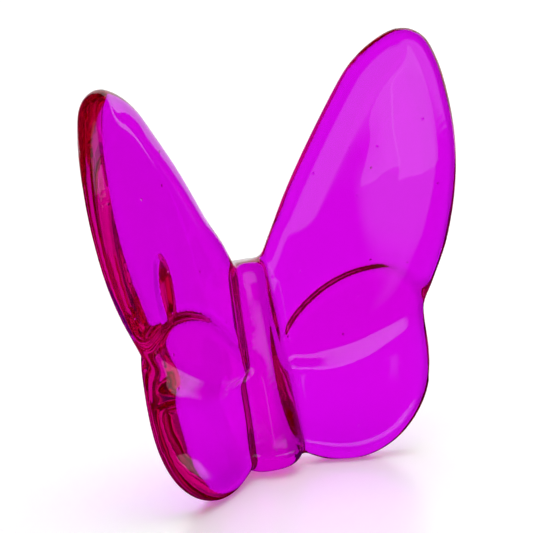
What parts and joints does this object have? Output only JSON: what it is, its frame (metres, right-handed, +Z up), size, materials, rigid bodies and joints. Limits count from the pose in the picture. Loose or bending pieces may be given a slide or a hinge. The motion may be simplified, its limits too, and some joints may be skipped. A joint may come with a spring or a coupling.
{
  "type": "butterfly ornament",
  "caption": "Standing butterfly figurine in solid clear coloured glass, leaning back on the foot of its body and the lower edges of its hindwings.",
  "frame": {"origin": "middle of the ornament's outline on the plane it stands on", "axes": "+Z up, front towards -Y, wings spread along X, mirror plane X = 0"},
  "size_m": [0.0668, 0.0211, 0.0646],
  "materials": {
    "magenta_glass": "polished"
  },
  "bodies": {
    "root": {"body": "magenta_glass", "left_forewing": "magenta_glass", "right_forewing": "magenta_glass", "left_hindwing": "magenta_glass", "right_hindwing": "magenta_glass"}
  },
  "joints": []
}
